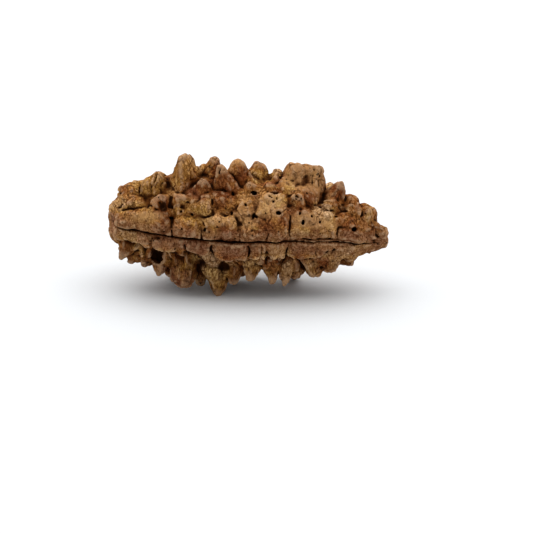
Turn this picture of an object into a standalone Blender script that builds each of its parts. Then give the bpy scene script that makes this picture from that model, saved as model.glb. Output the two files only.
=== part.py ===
"""The stone of a rudraksha fruit, lying on its side: one solid piece.

Its skin is where a field of distances is zero. A bead-shaped core is raised into lips along three
seams, blunt knobs and flat pads are joined to it, and the seams and hollows are carved out of it.
Lengths are in millimetres. A place on the bead is x, along its axis towards the beak, and an angle
round the axis in degrees: 0 is the side, -Y, and 90 is the top, +Z.
"""

from collections import namedtuple
from math import cos, radians, sin, tan

import bmesh
import bpy
import numpy as np
import openvdb

MM = 0.001
NAME = "rudraksha_bead"

# The core: its radius grows from a blunt stem end and dwindles to a drooping beak. Its axis runs
# along X, at a height and a distance to the side that put the bead's footprint round the origin.
LENGTH = 35.6
CORE_RADIUS = 5.8
STEM_BLUNTNESS = 0.44
BEAK_TAPER = 0.65
BEAK_DROOP = 2.1
DROOP_START = 4.0
AXIS_HEIGHT = 8.45
AXIS_SIDE = -1.0
BEAK_TIP_RADIUS = 0.95

# The three seams, where the stone's cells meet, each a groove between two raised lips.
SEAM_ANGLES = (-5.0, 114.0, 218.0)
SEAM_BEND = 8.0
SEAM_TWIST = -4.0
LIP_WIDTH = 1.5
LIP_HEIGHT = 0.4
GROOVE_WIDTH = 0.36
GROOVE_DEPTH = 1.0
THIN_RADIUS = 4.0

# How knobs and pads join, and the unevenness of the skin: a slow sway, low domes crowded against
# each other, and roughness as (length, depth) pairs.
JOIN_BLEND = 0.25
CARVE_BLEND = 0.25
PAD_SQUARENESS = 3.0
WOBBLE = 0.32
WOBBLE_LENGTH = 3.0
COBBLE_SIZE = 2.2
COBBLE_HEIGHT = 0.45
ROUGHNESS = ((1.6, 0.10), (0.8, 0.05))

# The field's grid and the finished mesh.
STEP = 0.3
MARGIN = 1.2
REACH = 1.6
TRIANGLES = 9600

# A blunt knob: height above the core, radii at its root and its tip, and its lean in degrees.
Knob = namedtuple("Knob", "x angle root height tip lean_x lean_round")
# A flat pad: half its length along the axis and round it, its height, and its turn in degrees.
Pad = namedtuple("Pad", "x angle long wide height turn")
# A hollow: its radius, and how deep its middle lies under the core's skin.
Hollow = namedtuple("Hollow", "x angle radius depth")

SIDE_KNOBS = (
    # The stem end
    Knob(-16.6, 40, 1.5, 1.0, 1.2, -20, 0),
    Knob(-14.3, 75, 2.3, 1.6, 1.7, -4, 0),
    Knob(-14.4, 50, 1.7, 1.1, 1.3, 0, 0),
    Knob(-11.7, 72, 1.9, 1.9, 1.4, 0, 0),
    Knob(-11.3, 97, 1.6, 1.3, 1.0, 0, 0),
    Knob(-10.8, 43, 1.5, 1.4, 1.1, 0, 0),
    Knob(-8.4, 43, 1.3, 1.3, 0.9, 8, 0),
    # The crest, from the tallest knob to the beak
    Knob(-7.6, 80, 1.95, 3.9, 1.1, 4, 0),
    Knob(-5.7, 59, 1.6, 1.9, 0.7, 6, 10),
    Knob(-5.6, 100, 1.5, 1.6, 0.9, 0, 0),
    Knob(-4.1, 96, 1.5, 2.7, 0.5, 0, 0),
    Knob(-2.6, 66, 1.6, 3.4, 0.5, -12, 5),
    Knob(-1.0, 82, 2.2, 3.2, 0.95, -4, 0),
    Knob(0.4, 63, 1.4, 1.4, 0.7, 0, 0),
    Knob(0.9, 97, 1.7, 2.0, 0.9, 0, 0),
    Knob(2.6, 68, 1.4, 1.0, 0.9, 0, 0),
    Knob(3.5, 95, 1.6, 1.6, 0.9, 0, 0),
    Knob(4.4, 75, 1.3, 1.1, 0.8, 0, 0),
    Knob(6.1, 92, 2.2, 3.0, 1.5, 0, 0),
    Knob(7.5, 95, 1.6, 2.8, 1.0, 0, 0),
    Knob(8.5, 92, 1.7, 3.6, 0.8, -8, 0),
    Knob(7.6, 71, 1.4, 1.5, 0.9, 0, 0),
    Knob(6.0, 54, 1.9, 1.4, 1.2, 0, 0),
    Knob(9.5, 56, 1.2, 1.1, 0.4, 10, 0),
    Knob(10.5, 84, 1.6, 2.9, 0.6, 6, 0),
    Knob(10.2, 66, 1.3, 1.2, 0.7, 0, 0),
    Knob(12.8, 68, 1.6, 1.4, 1.0, 6, 0),
    Knob(13.4, 92, 1.3, 1.3, 0.8, 6, 0),
    Knob(14.9, 80, 1.3, 1.3, 0.9, 10, 0),
    # Under the seam, from the stem end to the beak
    Knob(-14.4, -58, 1.5, 1.8, 0.45, -2, 0),
    Knob(-12.8, -58, 1.4, 1.5, 0.5, 0, 0),
    Knob(-11.1, -60, 1.6, 2.2, 0.35, 2, 0),
    Knob(-9.9, -70, 1.3, 2.0, 0.6, 0, 0),
    Knob(-8.0, -53, 1.7, 3.1, 1.3, 0, -4),
    Knob(-6.0, -76, 1.5, 2.6, 0.8, 0, 0),
    Knob(-3.8, -66, 2.1, 3.62, 0.75, 4, 0),
    Knob(-2.0, -62, 1.6, 2.2, 0.7, 4, 0),
    Knob(0.5, -55, 1.2, 2.0, 0.8, 0, 0),
    Knob(2.9, -57, 1.3, 2.8, 0.35, 0, 0),
    Knob(4.5, -56, 1.2, 3.2, 0.35, -2, 0),
    Knob(5.7, -60, 1.4, 1.9, 0.9, 0, 0),
    Knob(8.3, -60, 1.2, 1.5, 0.6, 0, 0),
    Knob(10.4, -58, 1.1, 1.4, 0.5, 0, 0),
    Knob(12.9, -52, 1.2, 0.5, 0.4, 0, 0),
)

# The three longest knobs under the bead carry it: one of those above and these two.
FOOT_KNOBS = (
    Knob(-9.0, -110, 2.2, 3.7, 1.0, 0, 0),
    Knob(4.9, -110, 2.3, 4.1, 1.0, 0, 0),
)

SIDE_PADS = (
    # Above the seam
    Pad(-13.0, 17, 3.7, 1.5, 1.3, 4),
    Pad(-7.6, 11, 1.6, 1.2, 1.3, 0),
    Pad(-8.4, 27, 2.0, 0.9, 0.5, 0),
    Pad(-5.1, 36, 0.8, 1.5, 1.0, 0),
    Pad(-3.0, 45, 1.7, 1.1, 0.9, -30),
    Pad(-3.3, 13, 2.1, 1.5, 1.2, 0),
    Pad(-0.3, 33, 1.3, 1.7, 0.9, 0),
    Pad(0.7, 12, 1.6, 1.3, 1.0, 0),
    Pad(3.0, 40, 1.8, 1.9, 1.2, 0),
    Pad(3.6, 16, 1.5, 1.7, 0.9, 0),
    Pad(8.2, 23, 2.9, 1.9, 0.9, 0),
    Pad(12.4, 38, 2.2, 1.2, 0.7, -8),
    Pad(13.4, 16, 2.7, 1.2, 0.7, 0),
    Pad(16.0, 62, 1.7, 0.8, 1.0, -8),
    # Under the seam
    Pad(-14.6, -10, 2.8, 1.0, 0.8, 0),
    Pad(-10.4, -13, 2.0, 0.9, 0.9, 0),
    Pad(-6.1, -16, 1.5, 1.3, 0.9, 0),
    Pad(-2.1, -18, 2.2, 1.6, 1.0, 0),
    Pad(1.2, -17, 1.1, 1.4, 0.8, 0),
    Pad(3.5, -17, 1.2, 1.4, 0.8, 0),
    Pad(7.8, -18, 2.9, 1.5, 0.8, 0),
    Pad(13.2, -18, 2.8, 0.8, 0.6, 6),
)

SIDE_HOLLOWS = (
    Hollow(-10.4, 46, 0.7, -1.4),
    Hollow(0.7, 57, 0.45, -0.6),
    Hollow(3.1, 53, 0.5, -0.5),
    Hollow(-12.0, -38, 0.9, 0.1),
    Hollow(-6.3, -34, 0.9, 0.0),
    Hollow(-4.2, -40, 0.8, 0.0),
    Hollow(-2.3, -42, 0.8, -0.2),
)

# The far side and the underside, where knobs and pads stand in rows between the seams.
FAR_SIDE = (116.0, 290.0)
UNDERSIDE = 256.0
ROW_WIDTH = 20.0
ROW_SPACING = 2.9
ROW_ENDS = (-15.2, 14.6)
FAR_SEED = 7


def profile(x):
    """The square of the core's radius at x, and its slope along x."""
    start = -LENGTH / 2
    share = np.clip((x - start) / LENGTH, 1e-4, 1 - 1e-4)
    fullest = STEM_BLUNTNESS / (STEM_BLUNTNESS + BEAK_TAPER)
    scale = CORE_RADIUS / (fullest**STEM_BLUNTNESS * (1 - fullest) ** BEAK_TAPER)
    square = scale**2 * share ** (2 * STEM_BLUNTNESS) * (1 - share) ** (2 * BEAK_TAPER)
    slope = square * (2 * STEM_BLUNTNESS / share - 2 * BEAK_TAPER / (1 - share)) / LENGTH
    return square, slope


def axis_drop(x):
    """How far the bead's axis has dropped at x, towards the drooping beak."""
    run = np.maximum(x - DROOP_START, 0) / (LENGTH / 2 - DROOP_START)
    return BEAK_DROOP * run**2


def seam_angle(seam, x):
    """The angle of a seam at x: each bends a little towards its ends, more towards the stem."""
    share = 2 * x / LENGTH
    return SEAM_ANGLES[seam] + SEAM_BEND * share**2 + SEAM_TWIST * share


def frame_at(x, angle, height=0.0):
    """A point that stands height above the core's skin, with the directions out, along and round there."""
    square, slope = profile(x)
    radius = square**0.5
    turn = radians(angle)
    outward = np.array((0.0, -cos(turn), sin(turn)))
    length = (4 * square + slope**2) ** 0.5
    out = np.array((-slope / length, 0.0, 0.0)) + outward * (2 * radius / length)
    round_axis = np.array((0.0, sin(turn), cos(turn)))
    along = np.cross(round_axis, out)
    base = np.array((x, 0.0, -axis_drop(x))) + outward * radius
    return base + out * height, out, along, round_axis


def smooth_minimum(a, b, blend):
    """The lesser of two distances, rounded where they meet."""
    share = np.clip(0.5 + 0.5 * (a - b) / blend, 0, 1)
    return a + (b - a) * share - blend * share * (1 - share)


def smoothed_lattice(axes, length, rng):
    """A smooth random field from -1 to 1 on a grid with those axes, which are even about zero."""
    count = [int(-2 * axis[0] / length) + 2 for axis in axes]
    values = rng.uniform(-1, 1, count)
    for side, axis in enumerate(axes):
        place = (axis - axis[0]) / length
        cell = place.astype(int)
        share = place - cell
        share = share * share * (3 - 2 * share)
        values = np.moveaxis(values, side, -1)
        values = values[..., cell] * (1 - share) + values[..., cell + 1] * share
        values = np.moveaxis(values, -1, side)
    return np.ascontiguousarray(values, np.float32)


class Field:
    """Distances to the bead's skin on a regular grid, negative inside."""

    def __init__(self, rng):
        self.rng = rng
        half_length = LENGTH / 2 + 2 * MARGIN
        half_width = AXIS_HEIGHT + 2 * MARGIN
        self.low = np.array((-half_length, -half_width, -half_width))
        self.axes = [np.arange(low, -low, STEP, dtype=np.float32) for low in self.low]
        grid = np.meshgrid(*self.axes, indexing="ij")
        self.points = [axis + WOBBLE * self.noise(WOBBLE_LENGTH) for axis in grid]
        x, y, z = self.points
        self.radius = np.hypot(y, z + axis_drop(x))
        self.angle = np.degrees(np.arctan2(z + axis_drop(x), -y))
        square, slope = profile(x)
        gradient = np.sqrt(4 * self.radius**2 + slope**2) + 1e-6
        core = (self.radius**2 - square) / gradient
        self.distance = np.maximum(core, np.abs(x) - LENGTH / 2)

    def noise(self, length):
        return smoothed_lattice(self.axes, length, self.rng)

    def near(self, centre, reach):
        """The part of the grid within reach of a point, and the offsets of its points from there."""
        span = tuple(
            slice(*np.searchsorted(axis, (place - reach, place + reach)))
            for axis, place in zip(self.axes, centre)
        )
        return span, [p[span] - place for p, place in zip(self.points, centre)]

    def cobbles(self):
        """Low domes crowded against each other, whose heights fall to nothing where they meet."""
        low = self.low / COBBLE_SIZE - 2
        count = [int(-2 * edge) + 2 for edge in low]
        middles = self.rng.uniform(0, 1, (*count, 3)).astype(np.float32)
        place = [p / COBBLE_SIZE - start for p, start in zip(self.points, low)]
        cell = [p.astype(np.int16) for p in place]
        nearest = np.full(self.distance.shape, 9, np.float32)
        for step in np.ndindex(3, 3, 3):
            index = [c + s - 1 for c, s in zip(cell, step)]
            middle = middles[tuple(index)]
            parts = (i + middle[..., side] - p for side, (i, p) in enumerate(zip(index, place)))
            nearest = np.minimum(nearest, sum(part**2 for part in parts))
        return np.clip(1 - nearest, 0, 1)

    def join(self, span, shape, blend=JOIN_BLEND):
        self.distance[span] = smooth_minimum(self.distance[span], shape, blend)

    def carve(self, span, shape, blend=CARVE_BLEND):
        self.distance[span] = -smooth_minimum(-self.distance[span], shape, blend)

    def across_seam(self, seam):
        """How far each point of the grid lies from a seam, round the axis."""
        turn = (self.angle - seam_angle(seam, self.points[0]) + 180) % 360 - 180
        return self.radius * np.radians(turn)


def add_knob(field, knob):
    """A rounded cone that stands on the core, with a root that is neither quite round nor smooth."""
    sunk = knob.root * 0.6
    base, out, along, round_axis = frame_at(knob.x, knob.angle, -sunk)
    up = out + along * tan(radians(knob.lean_x)) + round_axis * tan(radians(knob.lean_round))
    up /= np.linalg.norm(up)
    side = np.cross(up, along)
    side /= np.linalg.norm(side)
    forward = np.cross(side, up)
    length = max(knob.height + sunk - knob.tip, 0.3)
    reach = length + knob.root + REACH
    span, offset = field.near(base, reach)
    rise = sum(o * u for o, u in zip(offset, up))
    right = sum(o * s for o, s in zip(offset, side))
    ahead = sum(o * f for o, f in zip(offset, forward))
    phase = field.rng.uniform(0, 360, 3)
    turn = np.degrees(np.arctan2(right, ahead))
    waves = sum(
        depth * np.cos(np.radians(count * turn + start))
        for count, depth, start in zip((2, 3, 5), (0.08, 0.08, 0.05), phase)
    )
    across = np.hypot(right, ahead) * (1 + waves)
    slant = (knob.root - knob.tip) / length
    level = (1 - min(slant, 0.99) ** 2) ** 0.5
    foot = level * rise - slant * across
    side_distance = level * across + slant * rise - knob.root
    cone = np.where(
        foot < 0,
        np.hypot(across, rise) - knob.root,
        np.where(foot > level * length, np.hypot(across, rise - length) - knob.tip, side_distance),
    )
    field.join(span, cone)


def pillow(offset, directions, radii):
    """Distances to the skin of a box-like ellipsoid, close to true near the skin."""
    total = slope = 0
    for direction, radius in zip(directions, radii):
        place = np.abs(sum(o * d for o, d in zip(offset, direction))) / radius
        total = total + place**PAD_SQUARENESS
        slope = slope + (place ** (PAD_SQUARENESS - 1) / radius) ** 2
    level = total ** (1 / PAD_SQUARENESS) + 1e-6
    return (level - 1) * level ** (PAD_SQUARENESS - 1) / (np.sqrt(slope) + 1e-6)


def add_pad(field, pad):
    """A low pad with rounded sides, half sunk in the core."""
    sunk = 0.8
    base, out, along, round_axis = frame_at(pad.x, pad.angle, -sunk)
    turn = radians(pad.turn)
    ahead = along * cos(turn) + round_axis * sin(turn)
    side = round_axis * cos(turn) - along * sin(turn)
    reach = max(pad.long, pad.wide, pad.height + sunk) + REACH
    span, offset = field.near(base, reach)
    radii = (pad.long * 1.08, pad.wide * 1.08, pad.height + sunk)
    field.join(span, pillow(offset, (ahead, side, out), radii))


def carve_hollow(field, hollow):
    """A rounded pit between knobs."""
    centre = frame_at(hollow.x, hollow.angle, -hollow.depth)[0]
    span, offset = field.near(centre, hollow.radius + REACH)
    field.carve(span, np.sqrt(sum(o**2 for o in offset)) - hollow.radius)


def raise_lips(field):
    """Raises the core into two lips along each seam, lower towards the ends."""
    ends = 1 - (2 * field.points[0] / LENGTH) ** 4
    for seam in range(len(SEAM_ANGLES)):
        across = field.across_seam(seam) / LIP_WIDTH
        field.distance -= LIP_HEIGHT * np.clip(ends, 0, 1) * np.exp(-(across**4))


def carve_seams(field):
    """Presses a groove into the skin along each seam, shallower where the bead is thin."""
    depth = GROOVE_DEPTH * np.clip(field.radius / THIN_RADIUS, 0, 1) ** 2
    for seam in range(len(SEAM_ANGLES)):
        across = field.across_seam(seam) / GROOVE_WIDTH
        field.distance += depth * np.exp(-(across**2))


def far_places(rng):
    """Where the knobs and pads of the far side stand, as (x, angle, whether it is beside a seam)."""
    for seam, start in enumerate(SEAM_ANGLES):
        width = (SEAM_ANGLES[(seam + 1) % len(SEAM_ANGLES)] - start) % 360
        rows = round(width / ROW_WIDTH)
        for row in range(rows):
            stagger = ROW_SPACING / 2 * (row % 2)
            for x in np.arange(ROW_ENDS[0] + stagger, ROW_ENDS[1], ROW_SPACING):
                angle = (start + (row + 0.6) / (rows + 0.2) * width + rng.uniform(-4, 4)) % 360
                x += rng.uniform(-0.5, 0.5)
                if FAR_SIDE[0] < angle < FAR_SIDE[1]:
                    yield x, angle, row in (0, rows - 1)


def far_shapes(rng):
    """The knobs and the pads of the far side and the underside."""
    knobs, pads = [], []
    for x, angle, beside_seam in far_places(rng):
        girth = (profile(x)[0] ** 0.5) / CORE_RADIUS
        size = (0.35 + 0.65 * girth) * rng.uniform(0.85, 1.2)
        height = rng.uniform(1.8, 3.1) * (0.6 if angle > UNDERSIDE else 1)
        tip, lean = rng.uniform(0.5, 1.1), rng.uniform(-8, 8, 2)
        if beside_seam:
            pads.append(Pad(x, angle, 1.5 * size, 1.2 * size, 0.9 * size, lean[0]))
        else:
            knobs.append(Knob(x, angle, 1.8 * size, height * size, tip * size, *lean))
    return knobs, pads


def bead_field():
    """The whole bead as a field of distances."""
    rng = np.random.default_rng(FAR_SEED)
    field = Field(rng)
    raise_lips(field)
    beak = frame_at(LENGTH / 2 - 0.8, 0)[0]
    beak[1] = 0
    span, offset = field.near(beak, BEAK_TIP_RADIUS + REACH)
    field.join(span, np.sqrt(sum(o**2 for o in offset)) - BEAK_TIP_RADIUS)
    far_knobs, far_pads = far_shapes(rng)
    for pad in (*SIDE_PADS, *far_pads):
        add_pad(field, pad)
    for knob in (*SIDE_KNOBS, *FOOT_KNOBS, *far_knobs):
        add_knob(field, knob)
    carve_seams(field)
    for hollow in SIDE_HOLLOWS:
        carve_hollow(field, hollow)
    field.distance -= COBBLE_HEIGHT * (field.cobbles() - 0.6)
    for length, depth in ROUGHNESS:
        field.distance += depth * field.noise(length)
    return field


def largest_piece(faces, count):
    """The faces of the piece that has the most points, of a mesh with that many points."""
    label = np.arange(count)
    ends = np.concatenate((faces, np.roll(faces, 1, axis=1)), axis=1).reshape(-1, 2, faces.shape[1])
    one, other = ends[:, 0].ravel(), ends[:, 1].ravel()
    while True:
        lower = label.copy()
        np.minimum.at(lower, one, label[other])
        np.minimum.at(lower, other, label[one])
        lower = lower[lower]
        if np.array_equal(lower, label):
            break
        label = lower
    most = np.bincount(label).argmax()
    return faces[label[faces[:, 0]] == most]


def skin_of(field):
    """The skin of the field as a mesh, in metres, moved so that its footprint is centred on the floor."""
    grid = openvdb.FloatGrid(STEP * 4)
    grid.copyFromArray(np.ascontiguousarray(field.distance, np.float32))
    points, triangles, quads = grid.convertToPolygons()
    points = (points * STEP + field.low + (0, AXIS_SIDE, AXIS_HEIGHT)) * MM
    halves = np.concatenate((quads[:, [0, 1, 2]], quads[:, [0, 2, 3]]))
    faces = largest_piece(np.concatenate((triangles, halves)).astype(int), len(points))
    used, faces = np.unique(faces, return_inverse=True)
    mesh = bpy.data.meshes.new(NAME)
    mesh.from_pydata(points[used].tolist(), [], faces.reshape(-1, 3).tolist())
    return mesh


def simplified(mesh, triangles):
    """The mesh brought down to that many triangles, most where it bends most."""
    rough = bpy.data.objects.new("rough", mesh)
    bpy.context.scene.collection.objects.link(rough)
    mesh.calc_loop_triangles()
    modifier = rough.modifiers.new("Decimate", "DECIMATE")
    modifier.ratio = triangles / len(mesh.loop_triangles)
    graph = bpy.context.evaluated_depsgraph_get()
    result = bpy.data.meshes.new_from_object(rough.evaluated_get(graph))
    bpy.data.objects.remove(rough)
    return result


def cut_flat(mesh):
    """Cuts off what lies below the floor, which leaves the small flats that the bead rests on."""
    body = bmesh.new()
    body.from_mesh(mesh)
    bmesh.ops.bisect_plane(
        body,
        geom=[*body.verts, *body.edges, *body.faces],
        plane_co=(0, 0, 0),
        plane_no=(0, 0, 1),
        clear_inner=True,
    )
    bmesh.ops.holes_fill(body, edges=[edge for edge in body.edges if edge.is_boundary])
    bmesh.ops.triangulate(body, faces=body.faces)
    bmesh.ops.recalc_face_normals(body, faces=body.faces)
    body.to_mesh(mesh)
    body.free()


def stone_material():
    material = bpy.data.materials.new("stone")
    material.use_nodes = True
    shader = material.node_tree.nodes["Principled BSDF"]
    shader.inputs["Base Color"].default_value = (0.36, 0.19, 0.085, 1)
    shader.inputs["Roughness"].default_value = 0.7
    shader.inputs["Metallic"].default_value = 0
    return material


def main():
    for obj in list(bpy.data.objects):
        bpy.data.objects.remove(obj)
    mesh = simplified(skin_of(bead_field()), TRIANGLES)
    cut_flat(mesh)
    mesh.name = NAME
    mesh.materials.clear()
    mesh.materials.append(stone_material())
    mesh.shade_smooth()
    bead = bpy.data.objects.new(NAME, mesh)
    bpy.context.scene.collection.objects.link(bead)


main()
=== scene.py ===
from collections import namedtuple
from math import cos, radians, sin, tan

import bmesh
import bpy
import numpy as np
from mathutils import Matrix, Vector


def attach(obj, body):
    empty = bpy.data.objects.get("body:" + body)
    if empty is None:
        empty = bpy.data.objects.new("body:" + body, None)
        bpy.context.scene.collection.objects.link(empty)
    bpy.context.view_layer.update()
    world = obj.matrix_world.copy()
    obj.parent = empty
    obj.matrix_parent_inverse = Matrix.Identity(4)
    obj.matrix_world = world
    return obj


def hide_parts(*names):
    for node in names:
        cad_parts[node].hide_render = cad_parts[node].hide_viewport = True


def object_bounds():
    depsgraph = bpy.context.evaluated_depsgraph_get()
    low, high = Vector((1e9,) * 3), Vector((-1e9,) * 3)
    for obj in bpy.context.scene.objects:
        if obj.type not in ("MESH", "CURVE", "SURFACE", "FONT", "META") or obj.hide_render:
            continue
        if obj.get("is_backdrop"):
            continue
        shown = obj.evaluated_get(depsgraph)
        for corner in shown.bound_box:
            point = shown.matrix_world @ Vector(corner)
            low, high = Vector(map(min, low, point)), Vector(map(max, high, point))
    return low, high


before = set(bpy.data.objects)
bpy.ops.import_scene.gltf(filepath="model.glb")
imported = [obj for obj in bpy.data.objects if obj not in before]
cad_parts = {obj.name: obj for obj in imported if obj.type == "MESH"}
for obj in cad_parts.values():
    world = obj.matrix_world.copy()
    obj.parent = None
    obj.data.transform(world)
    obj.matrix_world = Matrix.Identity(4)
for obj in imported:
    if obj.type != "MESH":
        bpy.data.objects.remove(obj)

import openvdb
from mathutils import Matrix, Vector

# The finely wrinkled skin of the bead, its colours, and the light it lies in. The skin is where a
# field of distances is zero: the solid's own field on a finer grid, with the small features added.
# Lengths are in millimetres. A place on the bead is x, along its axis towards the beak, and an angle
# round the axis in degrees: 0 is the side, -Y, and 90 is the top, +Z.

MM = 0.001
NAME = "rudraksha_bead"
CAD_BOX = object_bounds()

# The core: its radius grows from a blunt stem end and dwindles to a drooping beak, which a small
# ball rounds off. Its axis runs along X, at a height and a distance to the side that put the bead's
# footprint round the origin.
LENGTH = 35.6
CORE_RADIUS = 5.8
STEM_BLUNTNESS = 0.44
BEAK_TAPER = 0.65
BEAK_DROOP = 2.1
DROOP_START = 4.0
AXIS_HEIGHT = 8.45
AXIS_SIDE = -1.0
BEAK_TIP_RADIUS = 0.95
BEAK_TIP_INSET = 0.8

# The three seams, where the stone's cells meet, each a groove between two raised lips. A groove
# wanders, and a share of its depth comes and goes, each by that much over that length. It grows
# shallow where the bead is thinner than a radius.
SEAM_ANGLES = (-5.0, 114.0, 218.0)
SEAM_BEND = 8.0
SEAM_TWIST = -4.0
LIP_WIDTH = 1.5
LIP_HEIGHT = 0.4
GROOVE_WIDTH = 0.085
GROOVE_DEPTH = 0.55
GROOVE_WANDER = (0.12, 1.1)
GROOVE_CHANGE = (0.5, 1.6)
THIN_RADIUS = 2.6
# A finer line beside the side seam: where it starts and ends, how far above it runs, and its depth.
SECOND_LINE = (4.5, 14.5, 0.34, 0.28)

# How softly shapes are joined and carved.
JOIN_BLEND = 0.1
CARVE_BLEND = 0.08

# A knob's root: how much wider it is than its table says, and how much of its radius is sunk. The
# least length between its two ends. Its sides: how oval they are, and their ridges, as (count,
# depth) pairs.
ROOT_SPREAD = 1.22
ROOT_SUNK = 0.6
SHORTEST_KNOB = 0.3
KNOB_OVAL = 0.08
KNOB_RIDGES = ((3, 0.12), (5, 0.07))

# A pad: how much larger it is than its table says, how deep it is sunk, and how square it is.
PAD_SPREAD = 1.08
PAD_SUNK = 0.8
PAD_SQUARENESS = 3.2

# How much higher the valleys between the knobs lie than the core, as (angle, height) pairs, and
# where along the bead that height is reached from a share of it at the stem end.
FILL = (
    (-180, 0.3), (-140, 0.1), (-90, 0.0), (-3, 0.0), (8, 0.45),
    (20, 0.6), (55, 0.6), (90, 0.4), (180, 0.3),
)
FILL_START = (-10.0, -3.0)
STEM_FILL = 0.3

# The unevenness of the skin: a slow sway, low domes crowded against each other, and roughness as
# (length, depth) pairs.
WOBBLE = 0.32
WOBBLE_LENGTH = 3.0
COBBLE_SIZE = 2.2
COBBLE_HEIGHT = 0.18
COBBLE_LEVEL = 0.6
ROUGHNESS = ((1.6, 0.10), (0.8, 0.05))
FINE_ROUGHNESS = ((0.45, 0.03), (0.25, 0.02))

# Flat facets with ridges between them, and a net of creases, as (cell, depth) pairs, and furrows
# that run out along the knobs' sides.
FACETS = ((1.7, 0.16), (0.7, 0.06))
FACET_LEVEL = 0.8
FLUTE_LENGTH = 0.55
FLUTES_ROUND = 64
FLUTE_DEPTH = 0.08
CREASES = ((2.1, 0.12), (1.0, 0.04))
CREASE_WIDTH = 0.12

# The undercut edge of the plates under the side seam, from the stem end to the middle of the bead.
# It is a jagged line, with a point at every tooth, and is cut more sharply above than below.
EAVES = (-15.5, 6.0)
EAVE_TOOTH = 0.55
EAVE_ANGLES = (-40.0, -24.0)
EAVE_DEPTH = 1.9
EAVE_WIDTH = 7.0
EAVE_SHARPNESS = 3

# The field's grid: its step, the room it leaves round the bead, and how far round a shape it is
# reckoned. Then the triangles that the skin keeps, and the seed of the small features.
STEP = 0.12
MARGIN = 1.2
REACH = 1.6
TRIANGLES = 190000
DETAIL_SEED = 21

# How far from the skin cracks and wrinkles reach.
CRACK_REACH = 0.8
WRINKLE_REACH = 0.6

# How far out and in from the core's skin the bead's own skin is looked for, and in what steps.
PROBE = (4.5, -2.0, -0.06)

# How many grid steps round it a place is compared with, for fine crevices and for whole valleys.
NEAR_BLUR = 3
WIDE_BLUR = 9

# A blunt knob: its radius at the root, its height above the core, its radius at the tip, and how
# far it leans towards the beak and round the axis, in degrees.
Knob = namedtuple("Knob", "x angle root height tip lean_x lean_round", defaults=(0, 0))
# A flat pad: half its length along the axis and round it, its height, and its turn in degrees.
Pad = namedtuple("Pad", "x angle long wide height turn")
# A hollow: its radius, and how deep its middle lies under the core's skin.
Hollow = namedtuple("Hollow", "x angle radius depth")
# A pinhole: its radius, and how deep it goes in from the skin.
Pinhole = namedtuple("Pinhole", "x angle radius depth")
# A crack that runs round the bead from one angle to another, its slant in millimetres a degree.
Crack = namedtuple("Crack", "x start end slant depth")

SIDE_KNOBS = [Knob(*row) for row in (
    # The stem end
    (-16.39, 40, 1.6, 1.0, 1.3, -20),
    (-14.29, 75, 2.3, 1.6, 1.9, -4),
    (-14.13, 48, 1.8, 1.1, 1.5),
    (-11.54, 72, 2.0, 1.9, 1.6),
    (-11.30, 97, 1.6, 1.3, 1.0),
    (-10.09, 38, 1.5, 1.5, 1.2),
    (-8.01, 43, 1.3, 1.3, 0.9, 8),
    # The crest, from the tallest knob to the beak
    (-7.68, 80, 2.2, 4.05, 0.95),
    (-5.40, 59, 1.6, 1.9, 0.7, 6, 10),
    (-5.60, 100, 1.5, 1.6, 0.9),
    (-4.10, 96, 1.7, 2.7, 0.6),
    (-2.23, 66, 2.0, 3.4, 0.75, -10, 5),
    (-0.91, 82, 2.3, 3.3, 1.1, -4),
    (0.65, 63, 1.4, 1.4, 0.7),
    (1.00, 97, 1.8, 2.2, 0.9),
    (2.79, 68, 1.4, 1.0, 0.9),
    (3.50, 95, 1.6, 1.6, 0.9),
    (4.53, 75, 1.3, 1.1, 0.8),
    (6.00, 92, 2.2, 3.2, 1.5),
    (7.20, 93, 1.8, 3.4, 1.2),
    (7.90, 92, 2.0, 3.7, 1.0),
    (7.75, 71, 1.4, 1.5, 0.9),
    (6.29, 54, 1.9, 1.4, 1.2),
    (9.73, 56, 1.2, 1.1, 0.4, 10),
    (10.35, 84, 1.6, 2.9, 0.75, 8),
    (10.36, 66, 1.3, 1.2, 0.7),
    (13.03, 68, 1.8, 1.5, 1.3, 6),
    (12.51, 88, 2.0, 2.0, 1.3, 4),
    (14.24, 82, 2.0, 2.0, 1.4, 8),
    # Under the seam, from the stem end to the beak
    (-14.98, -56, 1.4, 1.7, 0.5, -4),
    (-12.55, -58, 1.4, 1.5, 0.5),
    (-10.83, -60, 1.6, 2.2, 0.35, 2),
    (-9.71, -70, 1.3, 2.0, 0.6),
    (-7.73, -53, 1.9, 3.1, 1.5, 0, -4),
    (-5.85, -76, 1.5, 2.6, 0.8),
    (-3.73, -66, 2.2, 3.62, 0.8, 4),
    (-1.72, -62, 1.6, 2.2, 0.7, 4),
    (0.83, -55, 1.2, 2.0, 0.8),
    (3.22, -57, 1.3, 2.8, 0.35),
    (4.83, -56, 1.2, 3.2, 0.35, -2),
    (5.96, -60, 1.4, 1.9, 0.9),
    (8.25, -60, 1.9, 2.2, 1.1),
    (10.43, -58, 1.8, 1.9, 0.9),
    (13.08, -52, 1.2, 0.5, 0.4),
)]

# The three longest knobs under the bead carry it: one of those above and these two.
FOOT_KNOBS = (
    Knob(-9.0, -110, 2.2, 3.7, 1.0),
    Knob(4.9, -110, 2.3, 4.1, 1.0),
)

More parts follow.
